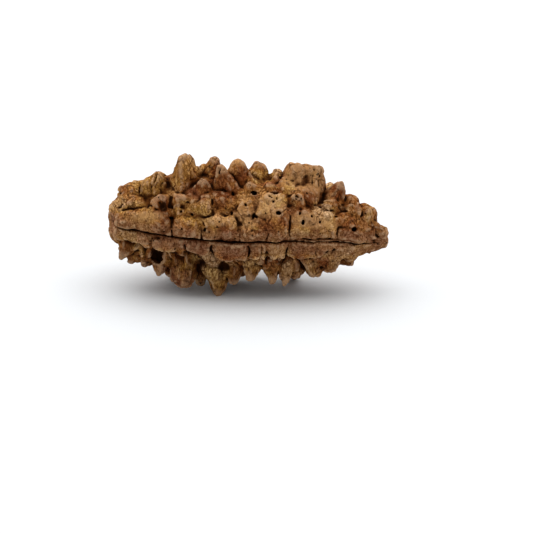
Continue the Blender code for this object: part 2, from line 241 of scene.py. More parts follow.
SIDE_PADS = [Pad(*row) for row in (
    # Above the seam
    (-12.53, 17, 3.7, 1.5, 1.3, 4),
    (-7.03, 11, 1.6, 1.2, 1.3, 0),
    (-7.94, 27, 2.0, 0.9, 0.5, 0),
    (-4.64, 36, 0.8, 1.5, 1.0, 0),
    (-2.60, 45, 1.7, 1.1, 0.9, -30),
    (-2.73, 13, 2.1, 1.5, 1.2, 0),
    (0.17, 33, 1.3, 1.7, 0.9, 0),
    (1.25, 12, 1.6, 1.3, 1.0, 0),
    (3.42, 40, 1.8, 1.9, 1.2, 0),
    (4.11, 16, 1.5, 1.7, 0.9, 0),
    (8.62, 23, 2.9, 1.9, 0.9, 0),
    (12.67, 38, 2.2, 1.2, 0.7, -8),
    (13.69, 16, 2.7, 1.2, 0.7, 0),
    (15.62, 60, 2.4, 0.85, 0.95, -6),
    (6.44, 74, 2.7, 1.9, 1.4, 0),
    (2.65, 62, 2.4, 1.3, 0.7, 0),
    (-0.45, 75, 2.0, 1.5, 1.0, 0),
    # Under the seam
    (-14.21, -10, 2.8, 1.0, 0.8, 0),
    (-9.90, -13, 2.0, 0.9, 0.9, 0),
    (-5.56, -16, 1.5, 1.3, 0.9, 0),
    (-1.55, -18, 2.2, 1.6, 1.0, 0),
    (1.72, -17, 1.1, 1.4, 0.8, 0),
    (4.00, -17, 1.2, 1.4, 0.8, 0),
    (8.23, -18, 2.9, 1.5, 0.8, 0),
    (13.49, -18, 2.8, 0.8, 0.6, 6),
    (11.90, -33, 3.6, 0.6, 0.7, 5),
    (10.68, -46, 4.0, 0.6, 0.8, 8),
)]

SIDE_HOLLOWS = [Hollow(*row) for row in (
    (-9.72, 34, 0.5, -1.3),
    (1.08, 55, 0.35, -0.4),
    (3.38, 53, 0.5, -0.5),
    (-11.14, -35, 0.75, 0.0),
    (-11.10, -47, 0.9, 0.1),
    (-14.30, -30, 0.4, -0.3),
    (-8.78, -26, 0.45, -0.5),
    (-8.51, -34, 0.5, -0.4),
    (-6.76, -27, 0.8, -0.5),
    (-6.09, -35, 0.9, -0.4),
    (-5.64, -44, 0.7, -0.4),
    (-4.27, -31, 0.55, -0.6),
    (-3.49, -35, 0.6, -0.6),
    (-2.71, -39, 0.6, -0.7),
    (-1.94, -44, 0.6, -0.7),
    (-2.68, -51, 0.65, -0.4),
    (-1.17, -32, 0.4, -0.5),
)]

# The far side and the underside, from one angle round to the other. Knobs and pads stand there in
# rows between the seams, about that many degrees wide. With some slack shared out, the first row
# and the last lie that share of a row from their seams.
FAR_SIDE = (116.0, 290.0)
ROW_WIDTH = 20.0
ROW_INSET = 0.6
ROW_SLACK = 0.2
# Along a row they stand that far apart between two ends, and each strays a little in x and angle.
ROW_SPACING = 2.9
ROW_ENDS = (-15.2, 14.6)
STRAY_X = 0.5
STRAY_ANGLE = 4
FAR_SEED = 7

# Their sizes: the share of full size that is left at the bead's ends, and the range of a draw that
# scales each one. At full size: a knob's root, the ranges of its height, its tip and its lean, how
# much lower knobs are past the angle where the underside starts, and half a pad's length and width
# and its height.
END_SIZE = 0.35
FAR_SIZES = (0.85, 1.2)
FAR_ROOT = 1.8
FAR_HEIGHTS = (1.8, 3.1)
FAR_TIPS = (0.5, 1.1)
FAR_LEAN = 8
UNDERSIDE = 256.0
UNDERSIDE_HEIGHT = 0.6
FAR_PAD = (1.5, 1.2, 0.9)

# Pinholes: how much longer they are one way than the other, how much they widen at the mouth and
# over what depth, how far they are cut through what stands over them, and how softly.
HOLE_STRETCH = 0.6
HOLE_FLARE = (0.4, 0.15)
HOLE_RISE = 0.6
HOLE_BLEND = 0.05
PINHOLES = [Pinhole(*row) for row in (
    (-8.79, 20.5, 0.14, 0.6),
    (-7.51, 29, 0.13, 0.6),
    (-6.29, 25.5, 0.13, 0.6),
    (-7.46, 11, 0.11, 0.4),
    (0.25, 37, 0.15, 0.7),
    (1.30, 26.5, 0.14, 0.6),
    (1.60, 25.2, 0.11, 0.4),
    (-1.60, 29, 0.14, 0.7),
    (3.97, 28.5, 0.24, 1.1),
    (2.77, 47, 0.13, 0.5),
    (3.21, 41, 0.12, 0.5),
    (3.59, 44, 0.10, 0.4),
    (6.21, 52, 0.21, 0.7),
    (7.25, 22.5, 0.20, 0.9),
    (9.11, 25, 0.12, 0.6),
    (8.20, 32, 0.11, 0.5),
    (6.81, 33, 0.13, 0.6),
    (11.10, 41, 0.16, 0.7),
    (13.41, 24, 0.23, 1.0),
    (9.16, 54, 0.12, 0.5),
    (-4.74, 10, 0.14, 0.25),
    (2.94, -37, 0.13, 0.5),
    (5.71, -37, 0.15, 0.6),
    (7.00, -36, 0.14, 0.6),
    (8.03, -36, 0.18, 0.7),
    (9.99, -24, 0.19, 0.6),
    (-1.55, 52, 0.14, 0.9),
    (-3.07, 66, 0.12, 0.6),
)]

# Cracks: half their width, and how far they wander over what length.
CRACK_WIDTH = 0.1
CRACK_WANDER = (0.28, 1.3)
CRACKS = [Crack(*row) for row in (
    # Above the seam
    (5.65, -4, 30, 0.0, 0.34),
    (11.49, 0, 24, 0.004, 0.26),
    (-0.43, -4, 9, 0.01, 0.26),
    (-5.13, -4, 12, 0.012, 0.4),
    (-8.76, -4, 8, 0.02, 0.4),
    (2.95, -4, 8, 0.015, 0.22),
    # Under the seam
    (0.69, -30, -6, 0.0, 0.3),
    (2.43, -22, -6, -0.02, 0.28),
    (5.06, -52, -6, 0.02, 0.34),
    (-7.28, -34, -6, 0.0, 0.4),
    (-3.82, -40, -6, -0.01, 0.45),
    (8.83, -30, -8, 0.0, 0.18),
    # The top
    (8.95, 76, 92, 0.0, 0.3),
    (8.20, 78, 90, 0.0, 0.25),
    (-11.63, 58, 82, 0.01, 0.4),
    (0.75, 70, 100, 0.05, 0.3),
)]

# Groups of tiny pits: x and angle of the middle of each, and how far it spreads along and round.
PIT_GROUPS = (
    (0.9, 11, 1.6, 10),
    (3.0, 42, 1.0, 8),
    (-3.3, 15, 1.8, 9),
    (6.0, 54, 1.4, 11),
    (6.5, -38, 4.0, 5),
)

# Where the stone is palest, in the same way.
PALE_PLACES = (
    (7.0, 80, 4.0, 24),
    (8.6, 26, 4.0, 14),
    (3.2, 40, 2.6, 20),
    (0.2, 24, 2.4, 16),
    (-3.4, 20, 2.4, 8),
    (-12.0, 24, 3.0, 8),
)

# Broken nets of hair cracks: the size of a cell, a crack's width, and how strongly it shows. Beside
# the seams they fade by a share, and they come in between two levels of noise.
HAIR_CRACKS = ((2.8, 0.09, 0.75), (1.3, 0.07, 0.6), (0.7, 0.05, 0.4))
HAIR_FADE = 0.5
HAIR_LEVELS = (0.48, 0.58)

# Where the stone is yellower, and the redder keel of the beak, in the same way.
OCHRE_PLACES = ((-6.8, 30, 3.2, 18), (-11.0, 68, 5.0, 22))
KEEL_PLACE = (17.0, 40, 3.5, 60)

# A hollow is darkened with painted shade from this far outside it, over a fade, and from near its rim
# down.
CAVE_REACH = 0.35
CAVE_FADE = 0.3
CAVE_RIM = 0.9

# The finest grain is squeezed by this towards the axis, so it runs in streaks up the knobs' sides.
STREAK_SQUEEZE = 0.25

# The stone's colours, and how strongly each that is laid over another covers it.
RUST = (0.17, 0.054, 0.018, 1)
DARK_RUST = (0.115, 0.030, 0.007, 1)
BROWN = (0.24, 0.092, 0.028, 1)
TAN = (0.34, 0.158, 0.044, 1)
PALE_TAN = (0.46, 0.256, 0.105, 1)
OCHRE = (0.33, 0.170, 0.036, 1)
MAUVE = (0.22, 0.105, 0.052, 1)
# Painted shade: umber for the valleys, and near black for the caves, the crevices and the tiny pits.
SHADE_UMBER = (0.070, 0.015, 0.0015, 1)
SHADE_BLACK = (0.015, 0.0042, 0.0005, 1)
# Pale wear on edges and tips, which also stands in for a painted highlight there.
PALE_WEAR_AND_HIGHLIGHT = (0.51, 0.32, 0.18, 1)
# Painted shade, multiplied in on the underside.
UNDERSIDE_SHADE_TINT = (0.53, 0.48, 0.45, 1)
COVER = {
    # Of these, the underside, the valleys and the pits take painted shade, and the worn edges and tips a
    # painted highlight along with their wear.
    "patches": 0.8,
    "flecks": 0.9,
    "ochre": 0.5,
    "keel": 0.7,
    "lips": 0.6,
    "furrows": 0.6,
    "under": 0.6,
    "pale": 0.55,
    "wear_and_highlight": 0.54,
    "tips": 0.9,
    "valley_shade": 0.88,
    "pits": 0.85,
}

# Over what change in each measure of the skin a colour comes in: how sunken it is among its close
# surroundings and its wide ones, how far down in a cave, how far from a seam in millimetres, and
# how far from straight down in degrees.
# Edges and tips take the pale wear with its painted highlight, and the crevices, valleys, caves and the
# underside take painted shade.
EDGES = (0.46, 0.32)
CREVICES = (0.54, 0.70)
TIPS = (0.36, 0.20)
VALLEYS = (0.52, 0.66)
DEEP_VALLEYS = (0.64, 0.78)
DEEP_CAVES = (0.5, 1.1)
LIPS = (2.2, 1.0)
UNDERNEATH = (62, 35)

# The colours that the stone turns through, as (place, colour) stops, and over what length.
TURNS = ((0.32, RUST), (0.45, BROWN), (0.54, TAN), (0.68, PALE_TAN))
TURN_LENGTH = 3.0

# Tints that the colour is multiplied by, as (place, tint) stops: from patch to patch, from fleck to
# fleck, and from the middle of a hair crack over its worn edge.
PATCH_TINTS = (
    (0.05, (0.66, 0.45, 0.33, 1)),
    (0.25, (0.90, 0.78, 0.68, 1)),
    (0.50, (1.02, 1.10, 0.80, 1)),
    (0.75, (1.18, 1.24, 1.15, 1)),
    (0.95, (1.05, 1.16, 1.50, 1)),
)
FLECK_TINTS = (
    (0.36, (0.27, 0.17, 0.09, 1)),
    (0.46, (0.82, 0.77, 0.70, 1)),
    (0.55, (1.10, 1.10, 1.10, 1)),
    (0.66, (1.90, 2.15, 2.60, 1)),
)
CRACK_TINTS = (
    (0.06, (0.22, 0.16, 0.12, 1)),
    (0.14, (0.75, 0.70, 0.66, 1)),
    (0.22, (1.28, 1.30, 1.36, 1)),
    (0.5, (1.0, 1.0, 1.0, 1)),
)

# A patch's size, and over what length and by how much its outline is pushed about. The flecks'
# length, detail and roughness. A furrow's length, and the levels between which it comes in.
PATCH_SIZE = 3.2
PATCH_WARP = (2.0, 2.5)
FLECKS = (0.19, 3, 0.7)
FURROW_LENGTH = 0.8
FURROWS = (0.53, 0.68)

# Tiny pits: the size of the cell that each lies in, how that is pushed about, the share of cells
# that have one outside the groups, and where a pit's edge fades, in cells.
PIT_CELL = 0.55
PIT_WARP = (0.3, 0.25)
PIT_CHANCE = 0.06
PIT_EDGE = (0.30, 0.20)

# The skin's roughness and sheen, its grain's length, detail and roughness, the relief's strength,
# the grain's height in millimetres, and a pit's depth in grains.
SKIN_ROUGHNESS = 0.75
SKIN_SHEEN = 0.02
GRAIN = (0.22, 4, 0.6)
GRAIN_STRENGTH = 0.8
GRAIN_RELIEF = 0.1
PIT_RELIEF = 0.8

# A light: where it is and its size in metres, its power in watts, and its lean in degrees. Then
# the strength of the white sky.
Light = namedtuple("Light", "x y z length width power lean")
LIGHTS = (
    Light(-0.20, 0.14, 0.64, 1.8, 0.60, 5.6, 0),
    Light(-0.02, 0.52, 0.64, 1.5, 1.50, 12.8, 0),
    Light(-0.9, 0.0, 0.36, 0.5, 0.9, 1.7, -68),
    Light(0.9, 0.0, 0.36, 0.5, 0.9, 1.5, 68),
)
SKY = 0.38
# The floor: half its side in metres, and its colour.
FLOOR_HALF = 1.5
FLOOR_GREY = (0.675, 0.69, 0.705, 1)

# The camera: how far it stands from the bead, how high it is and how far it is turned to the beak's
# side in degrees, how wide a strip the picture takes in at the bead, and how far the picture's
# middle lies to the right of the bead's axis point and above it.
CAMERA_DISTANCE = 220.0
CAMERA_RISE = 20.0
CAMERA_TURN = 5.0
FRAME_WIDTH = 67.4
FRAME_SHIFT = (2.34, -5.5)


def profile(x):
    """The square of the core's radius at x, and its slope along x."""
    start = -LENGTH / 2
    share = np.clip((x - start) / LENGTH, 1e-4, 1 - 1e-4)
    fullest = STEM_BLUNTNESS / (STEM_BLUNTNESS + BEAK_TAPER)
    scale = CORE_RADIUS / (fullest**STEM_BLUNTNESS * (1 - fullest) ** BEAK_TAPER)
    square = scale**2 * share ** (2 * STEM_BLUNTNESS) * (1 - share) ** (2 * BEAK_TAPER)
    slope = square * (2 * STEM_BLUNTNESS / share - 2 * BEAK_TAPER / (1 - share)) / LENGTH
    return square, slope


def axis_drop(x):
    """How far the bead's axis has dropped at x, towards the drooping beak."""
    run = np.maximum(x - DROOP_START, 0) / (LENGTH / 2 - DROOP_START)
    return BEAK_DROOP * run**2


def seam_angle(seam, x):
    """The angle of a seam at x: each bends a little towards its ends, more towards the stem."""
    share = 2 * x / LENGTH
    return SEAM_ANGLES[seam] + SEAM_BEND * share**2 + SEAM_TWIST * share


def frame_at(x, angle, height=0.0):
    """A point that stands height above the core's skin, with the directions out, along and round there."""
    square, slope = profile(x)
    radius = square**0.5
    turn = radians(angle)
    outward = np.array((0.0, -cos(turn), sin(turn)))
    length = (4 * square + slope**2) ** 0.5
    out = np.array((-slope / length, 0.0, 0.0)) + outward * (2 * radius / length)
    round_axis = np.array((0.0, sin(turn), cos(turn)))
    along = np.cross(round_axis, out)
    base = np.array((x, 0.0, -axis_drop(x))) + outward * radius
    return base + out * height, out, along, round_axis


def smooth_minimum(a, b, blend):
    """The lesser of two distances, rounded where they meet."""
    share = np.clip(0.5 + 0.5 * (a - b) / blend, 0, 1)
    return a + (b - a) * share - blend * share * (1 - share)


def smoothed_lattice(axes, length, rng):
    """A smooth random field from -1 to 1 on a grid with those axes, which are even about zero."""
    count = [int(-2 * axis[0] / length) + 2 for axis in axes]
    values = rng.uniform(-1, 1, count)
    for side, axis in enumerate(axes):
        place = (axis - axis[0]) / length
        cell = place.astype(int)
        share = place - cell
        share = share * share * (3 - 2 * share)
        values = np.moveaxis(values, side, -1)
        values = values[..., cell] * (1 - share) + values[..., cell + 1] * share
        values = np.moveaxis(values, -1, side)
    return np.ascontiguousarray(values, np.float32)


class Field:
    """Distances to the bead's skin on a regular grid, negative inside."""

    def __init__(self, rng):
        self.rng = rng
        half_length = LENGTH / 2 + 2 * MARGIN
        half_width = AXIS_HEIGHT + 2 * MARGIN
        self.low = np.array((-half_length, -half_width, -half_width))
        self.axes = [np.arange(low, -low, STEP, dtype=np.float32) for low in self.low]
        grid = np.meshgrid(*self.axes, indexing="ij")
        self.points = [axis + WOBBLE * self.noise(WOBBLE_LENGTH) for axis in grid]
        x, y, z = self.points
        self.radius = np.hypot(y, z + axis_drop(x))
        self.angle = np.degrees(np.arctan2(z + axis_drop(x), -y))
        square, slope = profile(x)
        gradient = np.sqrt(4 * self.radius**2 + slope**2) + 1e-6
        core = (self.radius**2 - square) / gradient
        fill = np.interp(self.angle, *np.transpose(FILL)).astype(np.float32)
        fill *= np.interp(x, FILL_START, (STEM_FILL, 1)) * np.sqrt(square) / CORE_RADIUS
        self.distance = np.maximum(core - fill, np.abs(x) - LENGTH / 2)

    def noise(self, length):
        return smoothed_lattice(self.axes, length, self.rng)

    def near(self, centre, reach):
        """The part of the grid within reach of a point, and the offsets of its points from there."""
        span = tuple(
            slice(*np.searchsorted(axis, (place - reach, place + reach)))
            for axis, place in zip(self.axes, centre)
        )
        return span, [p[span] - place for p, place in zip(self.points, centre)]

    def join(self, span, shape, blend=JOIN_BLEND):
        self.distance[span] = smooth_minimum(self.distance[span], shape, blend)

    def carve(self, span, shape, blend=CARVE_BLEND):
        self.distance[span] = -smooth_minimum(-self.distance[span], shape, blend)

    def across_seam(self, seam):
        """How far each point of the grid lies from a seam, round the axis."""
        turn = (self.angle - seam_angle(seam, self.points[0]) + 180) % 360 - 180
        return self.radius * np.radians(turn)

    def band(self, reach=MARGIN):
        """The points of the grid within reach of the skin."""
        return np.abs(self.distance) < reach

    def skin_point(self, x, angle):
        """Where a line from the axis leaves the skin, and the direction out there."""
        base, out = frame_at(x, angle)[:2]
        places = base + np.arange(*PROBE)[:, None] * out
        index = self.cells_at(places)
        drift = np.stack([p[index] for p in self.points], axis=1) - places
        inside = self.distance[self.cells_at(places - drift)] < 0
        return places[inside.argmax()], out

    def cells_at(self, places):
        """The grid's points nearest to places, as an index into it."""
        index = np.rint((places - self.low) / STEP).astype(int)
        return tuple(np.clip(index, 0, np.array(self.distance.shape) - 1).T)


def nearest_cells(field, band, size, rng, power=2):
    """Distances to the nearest and the next of the points strewn one to a cell, in cells.

    With power 2 they are true distances, and with 1 the sums of the steps along the three axes.
    """
    low = field.low / size - 2
    count = [int(-2 * edge) + 2 for edge in low]
    middles = rng.uniform(0, 1, (*count, 3)).astype(np.float32)
    place = [p[band] / size - start for p, start in zip(field.points, low)]
    cell = [p.astype(np.int16) for p in place]
    first = np.full(place[0].shape, 9, np.float32)
    second = first.copy()
    for step in np.ndindex(3, 3, 3):
        index = [c + s - 1 for c, s in zip(cell, step)]
        middle = middles[tuple(index)]
        away = 0
        for side, (i, p) in enumerate(zip(index, place)):
            away = away + np.abs(i + middle[..., side] - p) ** power
        second = np.minimum(second, np.maximum(first, away))
        first = np.minimum(first, away)
    return first ** (1 / power), second ** (1 / power)


def cone(rise, across, length, root, tip):
    """Distances to a cone with balls of those radii at its two ends, from its lower ball's middle."""
    slant = (root - tip) / length
    level = (1 - min(slant, 0.99) ** 2) ** 0.5
    foot = level * rise - slant * across
    side = level * across + slant * rise - root
    top = np.hypot(across, rise - length) - tip
    return np.where(foot < 0, np.hypot(across, rise) - root, np.where(foot > level * length, top, side))


def add_knob(field, knob):
    """A rounded cone that stands on the core, with ridges down its sides."""
    knob = knob._replace(root=knob.root * ROOT_SPREAD)
    sunk = knob.root * ROOT_SUNK
    base, out, along, round_axis = frame_at(knob.x, knob.angle, -sunk)
    up = out + along * tan(radians(knob.lean_x)) + round_axis * tan(radians(knob.lean_round))
    up /= np.linalg.norm(up)
    side = np.cross(up, along)
    side /= np.linalg.norm(side)
    forward = np.cross(side, up)
    length = max(knob.height + sunk - knob.tip, SHORTEST_KNOB)
    reach = length + knob.root + REACH
    span, offset = field.near(base, reach)
    rise = sum(o * u for o, u in zip(offset, up))
    right = sum(o * s for o, s in zip(offset, side))
    ahead = sum(o * f for o, f in zip(offset, forward))
    phase = field.rng.uniform(0, 360, 3)
    turn = np.degrees(np.arctan2(right, ahead))
    waves = KNOB_OVAL * np.cos(np.radians(2 * turn + phase[0]))
    for (count, depth), start in zip(KNOB_RIDGES, phase[1:]):
        waves += depth * (2 * np.abs(np.sin(np.radians(count * turn + start) / 2)) - 1)
    across = np.hypot(right, ahead) * (1 + waves)
    field.join(span, cone(rise, across, length, knob.root, knob.tip))


def pillow(offset, directions, radii):
    """Distances to the skin of a box-like ellipsoid, close to true near the skin."""
    total = slope = 0
    for direction, radius in zip(directions, radii):
        place = np.abs(sum(o * d for o, d in zip(offset, direction))) / radius
        total = total + place**PAD_SQUARENESS
        slope = slope + (place ** (PAD_SQUARENESS - 1) / radius) ** 2
    level = total ** (1 / PAD_SQUARENESS) + 1e-6
    return (level - 1) * level ** (PAD_SQUARENESS - 1) / (np.sqrt(slope) + 1e-6)


def add_pad(field, pad):
    """A low pad with rounded sides, half sunk in the core."""
    base, out, along, round_axis = frame_at(pad.x, pad.angle, -PAD_SUNK)
    turn = radians(pad.turn)
    ahead = along * cos(turn) + round_axis * sin(turn)
    side = round_axis * cos(turn) - along * sin(turn)
    reach = max(pad.long, pad.wide, pad.height + PAD_SUNK) + REACH
    span, offset = field.near(base, reach)
    radii = (pad.long * PAD_SPREAD, pad.wide * PAD_SPREAD, pad.height + PAD_SUNK)
    field.join(span, pillow(offset, (ahead, side, out), radii))


def carve_hollow(field, hollow):
    """A rounded pit between knobs."""
    centre = frame_at(hollow.x, hollow.angle, -hollow.depth)[0]
    span, offset = field.near(centre, hollow.radius + REACH)
    field.carve(span, np.sqrt(sum(o**2 for o in offset)) - hollow.radius)


def raise_lips(field):
    """Raises the core into two lips along each seam, lower towards the ends."""
    ends = 1 - (2 * field.points[0] / LENGTH) ** 4
    for seam in range(len(SEAM_ANGLES)):
        across = field.across_seam(seam) / LIP_WIDTH
        field.distance -= LIP_HEIGHT * np.clip(ends, 0, 1) * np.exp(-(across**4))


def carve_seams(field, rng):
    """Presses a fine, slightly wandering groove into the skin along each seam, free of the sway."""
    x, y, z = np.meshgrid(*field.axes, indexing="ij", sparse=True)
    z = z + axis_drop(x)
    angle, radius = np.degrees(np.arctan2(z, -y)), np.hypot(y, z)
    depth = GROOVE_DEPTH * np.clip(field.radius / THIN_RADIUS, 0, 1) ** 2
    depth *= 1 + GROOVE_CHANGE[0] * smoothed_lattice(field.axes, GROOVE_CHANGE[1], rng)
    wander = GROOVE_WANDER[0] * smoothed_lattice(field.axes, GROOVE_WANDER[1], rng)
    for seam in range(len(SEAM_ANGLES)):
        turn = (angle - seam_angle(seam, x) + 180) % 360 - 180
        across = (radius * np.radians(turn) + wander) / GROOVE_WIDTH
        field.distance += depth * np.exp(-(across**2))
    start, end, offset, groove = SECOND_LINE
    across = (radius * np.radians(angle - seam_angle(0, x)) + wander - offset) / GROOVE_WIDTH
    share = np.clip(np.minimum(x - start, end - x), 0, 1)
    field.distance += groove * share * np.exp(-(across**2))


def carve_cracks(field, rng):
    """Fine cracks across the seams' lips and over the knobs."""
    band = field.band(CRACK_REACH)
    x, angle = field.points[0][band], field.angle[band]
    wander = CRACK_WANDER[0] * smoothed_lattice(field.axes, CRACK_WANDER[1], rng)[band]
    cut = np.zeros_like(x)
    for crack in CRACKS:
        middle = (crack.start + crack.end) / 2
        half = (crack.end - crack.start) / 2
        ends = np.clip(1.2 * (1 - np.abs(angle - middle) / half), 0, 0.5) * 2
        line = x - crack.x - crack.slant * (angle - middle) + wander
        cut = np.maximum(cut, crack.depth * ends * np.exp(-((line / CRACK_WIDTH) ** 2)))
    field.distance[band] += cut


def carve_eaves(field, rng):
    """Undercuts the jagged lower edge of the plates that lie under the side seam."""
    places = np.arange(EAVES[0], EAVES[1], EAVE_TOOTH)
    edge = rng.uniform(*EAVE_ANGLES, len(places))
    depth = EAVE_DEPTH * rng.uniform(0, 1, len(places))
    depth[[0, -1]] = 0
    band = field.band()
    x, angle = field.points[0][band], field.angle[band]
    away = (angle - np.interp(x, places, edge)) / EAVE_WIDTH
    away = np.where(away > 0, away * EAVE_SHARPNESS, away)
    field.distance[band] += np.interp(x, places, depth) * np.exp(-(away**2))


def drill(field, hole, rng):
    """A pinhole, a little longer one way than the other, with a slightly flared mouth."""
    mouth, out = field.skin_point(hole.x, hole.angle)
    span, offset = field.near(mouth, hole.depth + hole.radius + REACH)
    rise = sum(o * d for o, d in zip(offset, out))
    along = np.clip(rise, -hole.depth, HOLE_RISE)
    away = sum((o - along * d) ** 2 for o, d in zip(offset, out))
    slant = np.cross(out, rng.normal(0, 1, 3))
    slant /= np.linalg.norm(slant)
    away -= HOLE_STRETCH * sum(o * d for o, d in zip(offset, slant)) ** 2
    flare = 1 + HOLE_FLARE[0] * np.clip(1 + rise / HOLE_FLARE[1], 0, 1)
    field.carve(span, np.sqrt(away) - hole.radius * flare, HOLE_BLEND)


def flutes(x, angle, rng):
    """A smooth random value from -1 to 1 for each place, the same from the axis outwards."""
    turn = (angle % 360) / 360 * FLUTES_ROUND
    place = x / FLUTE_LENGTH + 2 * LENGTH
    table = rng.uniform(-1, 1, (int(4 * LENGTH / FLUTE_LENGTH), FLUTES_ROUND)).astype(np.float32)
    row, column = place.astype(int), turn.astype(int) % FLUTES_ROUND
    down, right = place - row, turn - column
    down, right = down * down * (3 - 2 * down), right * right * (3 - 2 * right)
    after = (column + 1) % FLUTES_ROUND
    upper = table[row, column] * (1 - right) + table[row, after] * right
    lower = table[row + 1, column] * (1 - right) + table[row + 1, after] * right
    return upper * (1 - down) + lower * down


def wrinkle(field, rng):
    """Furrows out along the knobs, flat facets, a net of creases, and fine roughness."""
    band = field.band(WRINKLE_REACH)
    field.distance[band] += FLUTE_DEPTH * flutes(field.points[0][band], field.angle[band], rng)
    for size, depth in FACETS:
        first, _ = nearest_cells(field, band, size, rng, 1)
        field.distance[band] += depth * (first - FACET_LEVEL)
    for size, depth in CREASES:
        first, second = nearest_cells(field, band, size, rng)
        field.distance[band] += depth * np.exp(-(((second - first) / CREASE_WIDTH) ** 2))
    for length, depth in FINE_ROUGHNESS:
        field.distance += depth * smoothed_lattice(field.axes, length, rng)


def far_places(rng):
    """Where the knobs and pads of the far side stand, as (x, angle, whether it is beside a seam)."""
    for seam, start in enumerate(SEAM_ANGLES):
        width = (SEAM_ANGLES[(seam + 1) % len(SEAM_ANGLES)] - start) % 360
        rows = round(width / ROW_WIDTH)
        for row in range(rows):
            stagger = ROW_SPACING / 2 * (row % 2)
            for x in np.arange(ROW_ENDS[0] + stagger, ROW_ENDS[1], ROW_SPACING):
                turn = (row + ROW_INSET) / (rows + ROW_SLACK) * width
                angle = (start + turn + rng.uniform(-STRAY_ANGLE, STRAY_ANGLE)) % 360
                x += rng.uniform(-STRAY_X, STRAY_X)
                if FAR_SIDE[0] < angle < FAR_SIDE[1]:
                    yield x, angle, row in (0, rows - 1)


def far_shapes(rng):
    """The knobs and the pads of the far side and the underside."""
    knobs, pads = [], []
    for x, angle, beside_seam in far_places(rng):
        girth = (profile(x)[0] ** 0.5) / CORE_RADIUS
        size = (END_SIZE + (1 - END_SIZE) * girth) * rng.uniform(*FAR_SIZES)
        height = rng.uniform(*FAR_HEIGHTS) * (UNDERSIDE_HEIGHT if angle > UNDERSIDE else 1)
        tip, lean = rng.uniform(*FAR_TIPS), rng.uniform(-FAR_LEAN, FAR_LEAN, 2)
        if beside_seam:
            pads.append(Pad(x, angle, *[part * size for part in FAR_PAD], lean[0]))
        else:
            knobs.append(Knob(x, angle, FAR_ROOT * size, height * size, tip * size, *lean))
    return knobs, pads


def bead_field():
    """The whole bead as a field of distances: the solid's own shape, then the small features."""
    rng = np.random.default_rng(FAR_SEED)
    field = Field(rng)
    detail = np.random.default_rng(DETAIL_SEED)
    raise_lips(field)
    beak = frame_at(LENGTH / 2 - BEAK_TIP_INSET, 0)[0]
    beak[1] = 0
    span, offset = field.near(beak, BEAK_TIP_RADIUS + REACH)
    field.join(span, np.sqrt(sum(o**2 for o in offset)) - BEAK_TIP_RADIUS)
    far_knobs, far_pads = far_shapes(rng)
    for pad in (*SIDE_PADS, *far_pads):
        add_pad(field, pad)
    for knob in (*SIDE_KNOBS, *FOOT_KNOBS, *far_knobs):
        add_knob(field, knob)
    carve_seams(field, detail)
    for hollow in SIDE_HOLLOWS:
        carve_hollow(field, hollow)
    band = field.band()
    first, _ = nearest_cells(field, band, COBBLE_SIZE, rng)
    field.distance[band] -= COBBLE_HEIGHT * (np.clip(1 - first**2, 0, 1) - COBBLE_LEVEL)
    for length, depth in ROUGHNESS:
        field.distance += depth * field.noise(length)
    carve_eaves(field, detail)
    wrinkle(field, detail)
    carve_cracks(field, detail)
    for hole in PINHOLES:
        drill(field, hole, detail)
    return field


def largest_piece(faces, count):
    """The faces of the piece that has the most points, of a mesh with that many points."""
    label = np.arange(count)
    ends = np.concatenate((faces, np.roll(faces, 1, axis=1)), axis=1).reshape(-1, 2, faces.shape[1])
    one, other = ends[:, 0].ravel(), ends[:, 1].ravel()
    while True:
        lower = label.copy()
        np.minimum.at(lower, one, label[other])
        np.minimum.at(lower, other, label[one])
        lower = lower[lower]
        if np.array_equal(lower, label):
            break
        label = lower
    most = np.bincount(label).argmax()
    return faces[label[faces[:, 0]] == most]


def skin_of(field):
    """The skin of the field as a mesh, in metres, where the solid lies."""
    grid = openvdb.FloatGrid(STEP * 4)
    grid.copyFromArray(np.ascontiguousarray(field.distance, np.float32))
    points, triangles, quads = grid.convertToPolygons()
    points = (points * STEP + field.low + (0, AXIS_SIDE, AXIS_HEIGHT)) * MM
    halves = np.concatenate((quads[:, [0, 1, 2]], quads[:, [0, 2, 3]]))
    faces = largest_piece(np.concatenate((triangles, halves)).astype(int), len(points))
    used, faces = np.unique(faces, return_inverse=True)
    mesh = bpy.data.meshes.new(NAME)
    mesh.from_pydata(points[used].tolist(), [], faces.reshape(-1, 3).tolist())
    return mesh


def simplified(mesh, triangles):
    """The mesh brought down to that many triangles, most where it bends most."""
    rough = bpy.data.objects.new("rough", mesh)
    bpy.context.scene.collection.objects.link(rough)
    mesh.calc_loop_triangles()
    modifier = rough.modifiers.new("Decimate", "DECIMATE")
    modifier.ratio = min(1, triangles / len(mesh.loop_triangles))
    graph = bpy.context.evaluated_depsgraph_get()
    result = bpy.data.meshes.new_from_object(rough.evaluated_get(graph))
    bpy.data.objects.remove(rough)
    return result


def cut_flat(mesh):
    """Cuts off what lies below the floor, which leaves the small flats that the bead rests on."""
    body = bmesh.new()
    body.from_mesh(mesh)
    parts = [*body.verts, *body.edges, *body.faces]
    bmesh.ops.bisect_plane(body, geom=parts, plane_co=(0, 0, 0), plane_no=(0, 0, 1), clear_inner=True)
    bmesh.ops.holes_fill(body, edges=[edge for edge in body.edges if edge.is_boundary])
    bmesh.ops.triangulate(body, faces=body.faces)
    bmesh.ops.recalc_face_normals(body, faces=body.faces)
    body.to_mesh(mesh)
    body.free()


